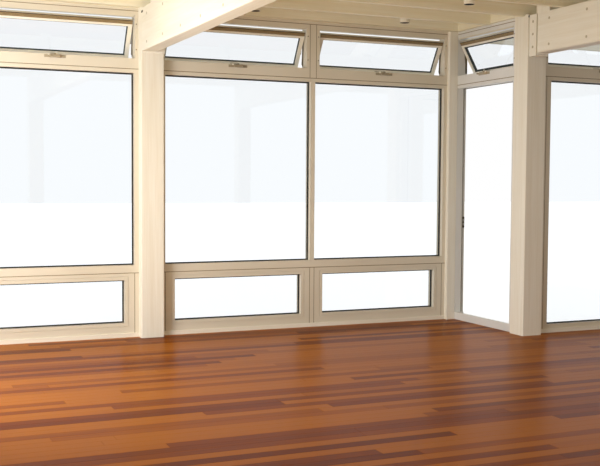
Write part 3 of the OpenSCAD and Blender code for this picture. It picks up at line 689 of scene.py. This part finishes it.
def head_stops():
    """A stop under the head of every awning opening, which narrows the slot over its open sash."""
    lo, hi = [], []
    for a, b, along, face in awnings():
        start, end = a.copy(), b.copy()
        start[along], end[along] = a[along] - 5 * MM, b[along] + 5 * MM
        start[1 - along], end[1 - along] = face + 2 * MM, face + 16 * MM
        start[2], end[2] = FLOOR_TOP + AWNING_HEAD - STOP_DEEP, FLOOR_TOP + AWNING_HEAD
        lo.append(start)
        hi.append(end)
    piece("head_stops", bars(lo, hi, 1.5 * MM, -Z), FRAME_COAT)


# Small fixings

def screw_head(axis, side, radius):
    """A pan head: a low dome over a short rim."""
    a = np.linspace(0, math.pi / 2, 5)
    profile = [(radius, -0.5 * MM)] + [(radius * math.cos(t), radius * 0.35 * math.sin(t)) for t in a]
    return turned(profile, np.zeros(3), axis, side, 14)


# From the sash's side to the screws
SCREW_BACK = 26 * MM
SCREW_RADIUS = 5 * MM


def jamb_screws():
    """Two screws in each side member of every awning opening."""
    shapes = []
    for lo, hi, along, face in awnings():
        out = -X if along else -Y
        places = []
        for end in (lo[along] - SCREW_BACK, hi[along] + SCREW_BACK):
            for part in (0.2, 0.85):
                place = np.zeros(3)
                place[along], place[1 - along], place[2] = end, face, lo[2] + part * (hi[2] - lo[2])
                places.append(place)
        shapes.append(scattered(screw_head(out, Z, SCREW_RADIUS), places))
    piece("jamb_screws", join(shapes), BRONZE, smooth=True, weld=True)


# Height over the floor
WINDER_TOP = 2.289


def winder_hooks():
    """The hooked end of each winder's chain, and the pale knob of its folded crank: a flat strip carried
    along an arc of a quarter turn, from the housing up to the sash's foot, and a small turned knob."""
    hooks = []
    angle = np.linspace(0, math.pi / 2, 7)[:, None]
    strip = np.array([(-5, -1.5), (5, -1.5), (5, 1.5), (-5, 1.5)]) * MM
    for a, b, along, face in awnings():
        side, out = (Y, X) if along else (X, Y)
        foot = side * (a + b)[along] / 2 + out * face + (FLOOR_TOP + WINDER_TOP) * Z
        places = foot + (side * 8 - out * (20 - 22 * np.sin(angle)) + Z * (26 - 26 * np.cos(angle))) * MM
        ups = -out * np.cos(angle) + Z * np.sin(angle)
        hooks.append(carried(strip, places, np.tile(side, (7, 1)), ups, closed=False))
        knob = [(0, 0), (6 * MM, 0), (7.5 * MM, 5 * MM), (6 * MM, 12 * MM), (0, 13 * MM)]
        hooks.append(turned(knob, foot - side * 52 * MM - out * 22 * MM - Z * 5 * MM, Z, side, 14))
    # The hooks take the sashes' powder coat, whose paleness is partly painted light
    piece("winder_hooks", join(hooks), SASH_COAT_LIT, weld=True, smooth=True)


# From a beam's end to the cleat's middle and to the first pair of plugs, and from pair to pair
CLEAT_MIDDLE, FIRST_PLUG, PLUG_STEP = 63.5 * MM, 0.148, 0.458
# The plugs' heights, as shares of the beam's depth
PLUG_ROWS = [0.17, 0.5, 0.82]


def plugs():
    """Timber plugs over the bolts: pairs along both faces of each beam and threes in each cleat."""
    shapes = []
    disc = [(11.5 * MM, -1 * MM), (11.5 * MM, 0.2 * MM), (10.9 * MM, 0.8 * MM), (0, 0.8 * MM)]
    for k, (lo, hi) in enumerate(BEAMS):
        y = np.arange(hi[1] - FIRST_PLUG, lo[1] + 0.1, -PLUG_STEP)
        for x, out in ((lo[0], -X), (hi[0], X)):
            places = [(x, v, lo[2] + part * (hi[2] - lo[2])) for v in y for part in PLUG_ROWS[::2]]
            if k > 1:
                for end in (hi[1] + CLEAT_MIDDLE, lo[1] - CLEAT_MIDDLE):
                    places += [(x, end, lo[2] + part * (hi[2] - lo[2])) for part in PLUG_ROWS]
            shapes.append(scattered(turned(disc, np.zeros(3), out, Z, 20), places))
    piece("beam_plugs", join(shapes), PLUG_TIMBER, smooth=True, weld=True)


def lamps():
    """Black baffles and frosted lenses inside the downlights: a baffle is a cone that narrows by 12 mm
    and has seven ridges of 1 mm, and a lens is a shallow dish in its end."""
    baffles, lenses = [], []
    for lo, hi in boxes("downlights"):
        rim = np.array([(lo[0] + hi[0]) / 2, (lo[1] + hi[1]) / 2, lo[2]])
        steps = np.linspace(0, 1, 7)
        ridged = [(r * MM, h * MM) for t in steps for r, h in
                  ((40.4 - 12 * t, 0.6 + 34.4 * t), (39.4 - 12 * t, 0.6 + 34.4 * t))]
        baffles.append(turned(ridged + [(0, 35 * MM)], rim, Z, X, 32))
        lenses.append(turned([(0, 33 * MM), (20 * MM, 33.6 * MM), (25 * MM, 34.6 * MM)], rim, Z, X, 32))
    piece("lamp_baffles", join(baffles), LAMP_BLACK, smooth=True)
    piece("lamp_lenses", join(lenses), LENS, smooth=True)


DOOR_TOP, DOOR_STOP, SEAL_LAP = FLOOR_TOP + 2.177, 66 * MM, 2 * MM


def door_seals():
    """Seals in the doorway's rebate: up both jambs and across the head."""
    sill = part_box("door_sill")
    x0 = RETURN_LO[0] + DOOR_STOP
    y0, y1 = sill[0][1], sill[1][1]
    z0, z1 = sill[1][2], DOOR_TOP
    x1, inner = x0 + SEAL, SEAL - SEAL_LAP
    shape = bars([(x0, y0 - SEAL_LAP, z0), (x0, y1 - inner, z0), (x0, y0, z1 - inner)],
                 [(x1, y0 + inner, z1), (x1, y1 + SEAL_LAP, z1), (x1, y1, z1 + SEAL_LAP)], 1.5 * MM, X)
    piece("door_seals", shape, DOOR_SEAL)


floor()
soffit()
lining()
joists()
beams()
roof()
glazing()
sash_trim()
groove_painted_shade()
post_seals_and_shadows()
head_stops()
jamb_screws()
winder_hooks()
plugs()
lamps()
door_seals()


# Camera: the photo's viewpoint, solved from its lines, at 1.30 m above the floor

EYE = np.array([-3.7025, -5.3475, FLOOR_TOP + 1.30])
YAW, PITCH, ROLL = (math.radians(a) for a in (23.76, 2.98, 0.36))
FOCAL_PX = 997.0
IMAGE_W = 600


def stand(made, right, up, back, point):
    """Puts a camera or lamp at a point: it looks against its back axis."""
    bpy.context.scene.collection.objects.link(made)
    made.matrix_world = Matrix([[right[i], up[i], back[i], point[i]] for i in range(3)] + [[0, 0, 0, 1]])


def place_camera():
    """A camera whose axes follow from yaw right of +Y, pitch down and roll."""
    ahead = np.array([math.sin(YAW) * math.cos(PITCH), math.cos(YAW) * math.cos(PITCH), -math.sin(PITCH)])
    level = np.array([math.cos(YAW), -math.sin(YAW), 0])
    upright = np.cross(level, ahead)
    right = math.cos(ROLL) * level + math.sin(ROLL) * upright
    up = -math.sin(ROLL) * level + math.cos(ROLL) * upright
    data = bpy.data.cameras.new("view")
    data.sensor_width = 36
    data.lens = data.sensor_width * FOCAL_PX / IMAGE_W
    data.clip_start, data.clip_end = 0.05, 100
    made = bpy.data.objects.new("view", data)
    stand(made, right, up, -ahead, EYE)
    bpy.context.scene.camera = made


def area_lamp(name, place, towards, size, power, colour):
    """A square soft box at a place, facing a point. It lights the part and is itself never seen."""
    data = bpy.data.lights.new(name, "AREA")
    data.shape, data.size, data.energy, data.color = "SQUARE", size, power, linear(colour)
    made = bpy.data.objects.new(name, data)
    made.visible_camera = made.visible_glossy = made.visible_transmission = False
    back = np.array(place, float) - np.array(towards, float)
    back /= np.linalg.norm(back)
    side = np.cross(Z, back)
    side /= np.linalg.norm(side)
    stand(made, side, np.cross(back, side), back, place)


def shown_or(owner, unseen, shown):
    """One value for what the camera, gloss and glass show, and another for what lights the object."""
    path = add(owner, "ShaderNodeLightPath").outputs
    direct = add(owner, "ShaderNodeMath", {"operation": "MAXIMUM"}, i0=path["Is Camera Ray"],
                 i1=path["Is Glossy Ray"]).outputs[0]
    seen = add(owner, "ShaderNodeMath", {"operation": "MAXIMUM"}, i0=direct,
               i1=path["Is Transmission Ray"]).outputs[0]
    return add(owner, "ShaderNodeMapRange", Value=seen, To_Min=unseen, To_Max=shown).outputs[0]


# The world's strength from the room and from outside the front wall
ROOM_SIDE, OUTER_SIDE = 0.54, 0.95


def studio():
    """Pale floor, white background seen by the camera, in gloss and through glass, and soft lamps. The
    world lights the part more from outside the front wall than from the room, the far lamp lights its
    left end, and three lamps in the room make its left side lighter than its right, as in the photo."""
    floor_mat, shader = new_material("studio floor")
    set_sockets(floor_mat, shader, Base_Color=(*linear("#d2dae6"), 1), Roughness=0.9,
                Emission_Color=(1, 1, 1, 1), Emission_Strength=shown_or(floor_mat, 0.0, 0.6))
    mesh = bpy.data.meshes.new("studio_floor")
    reach = 60.0
    corners = [(-reach, -reach, 0), (reach, -reach, 0), (reach, reach, 0), (-reach, reach, 0)]
    mesh.from_pydata(corners, [], [(0, 1, 2, 3)])
    mesh.materials.append(floor_mat)
    made = bpy.data.objects.new("studio_floor", mesh)
    bpy.context.scene.collection.objects.link(made)
    world = bpy.data.worlds.new("studio")
    world.use_nodes = True
    bpy.context.scene.world = world
    coords = add(world, "ShaderNodeTexCoord").outputs["Generated"]
    direction = add(world, "ShaderNodeSeparateXYZ", i0=coords)
    unseen = add(world, "ShaderNodeMapRange", Value=direction.outputs["Y"], From_Min=-0.5, From_Max=0.3,
                 To_Min=ROOM_SIDE, To_Max=OUTER_SIDE).outputs[0]
    warm = add(world, "ShaderNodeMix", {"data_type": "RGBA"}, i0=shown_or(world, 0.0, 1.0),
               i6=(*linear("#fff7e8"), 1), i7=(1, 1, 1, 1)).outputs[2]
    set_sockets(world, world.node_tree.nodes["Background"], Color=warm,
                Strength=shown_or(world, unseen, 1.0))
    area_lamp("left soft box", (-18.0, -9.0, 4.5), (-1.0, 0.5, 1.4), 6.0, 1000, "#f8faff")
    area_lamp("window soft box", (-4.1, 0.2, 1.9), (-1.8, 3.2, 1.9), 1.2, 32, "#cfe0ff")
    area_lamp("side soft box", (-4.2, 0.9, 1.7), (1.5, 2.1, 1.9), 1.5, 66, "#fff8ea")
    area_lamp("floor soft box", (-1.4, 0.6, 0.26), (-1.2, 0.8, 2.6), 3.0, 46, "#ffeab8")


place_camera()
studio()
bpy.context.scene.view_settings.view_transform = "Standard"
